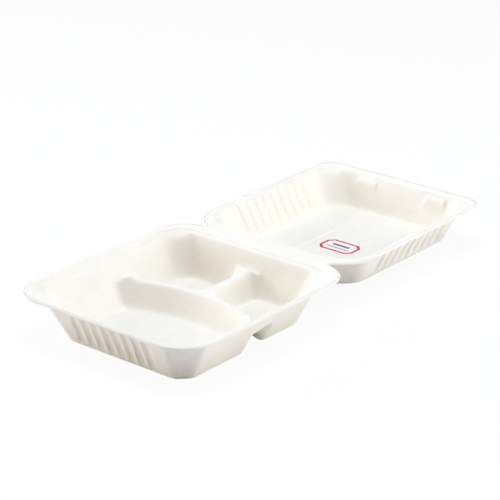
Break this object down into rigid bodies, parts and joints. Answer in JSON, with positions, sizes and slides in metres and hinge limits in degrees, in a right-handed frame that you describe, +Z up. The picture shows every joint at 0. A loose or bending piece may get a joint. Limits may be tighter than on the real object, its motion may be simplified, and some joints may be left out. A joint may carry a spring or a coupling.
{
  "type": "compartment lunch box",
  "caption": "Moulded-pulp lunch box opened flat: a tray with low curved dividers and a fluted front, folding to a lid with fluted sides and catches on its rim.",
  "frame": {"origin": "middle of the opened box, on the table under it", "axes": "+X along the fold, +Y from the tray to the lid, +Z up"},
  "size_m": [0.23, 0.487, 0.047],
  "materials": {
    "pulp": "matte moulded plant pulp",
    "sticker": "matte printed paper with a red border"
  },
  "bodies": {
    "tray": {"tray": "pulp"},
    "lid": {"lid": "pulp", "label": "sticker"}
  },
  "joints": [
    {"name": "lid_fold", "type": "hinge", "parent": "tray", "child": "lid", "pos_m": [0, 0.0025, 0.04715], "axis": [1, 0, 0], "range_deg": [0, 180]}
  ]
}
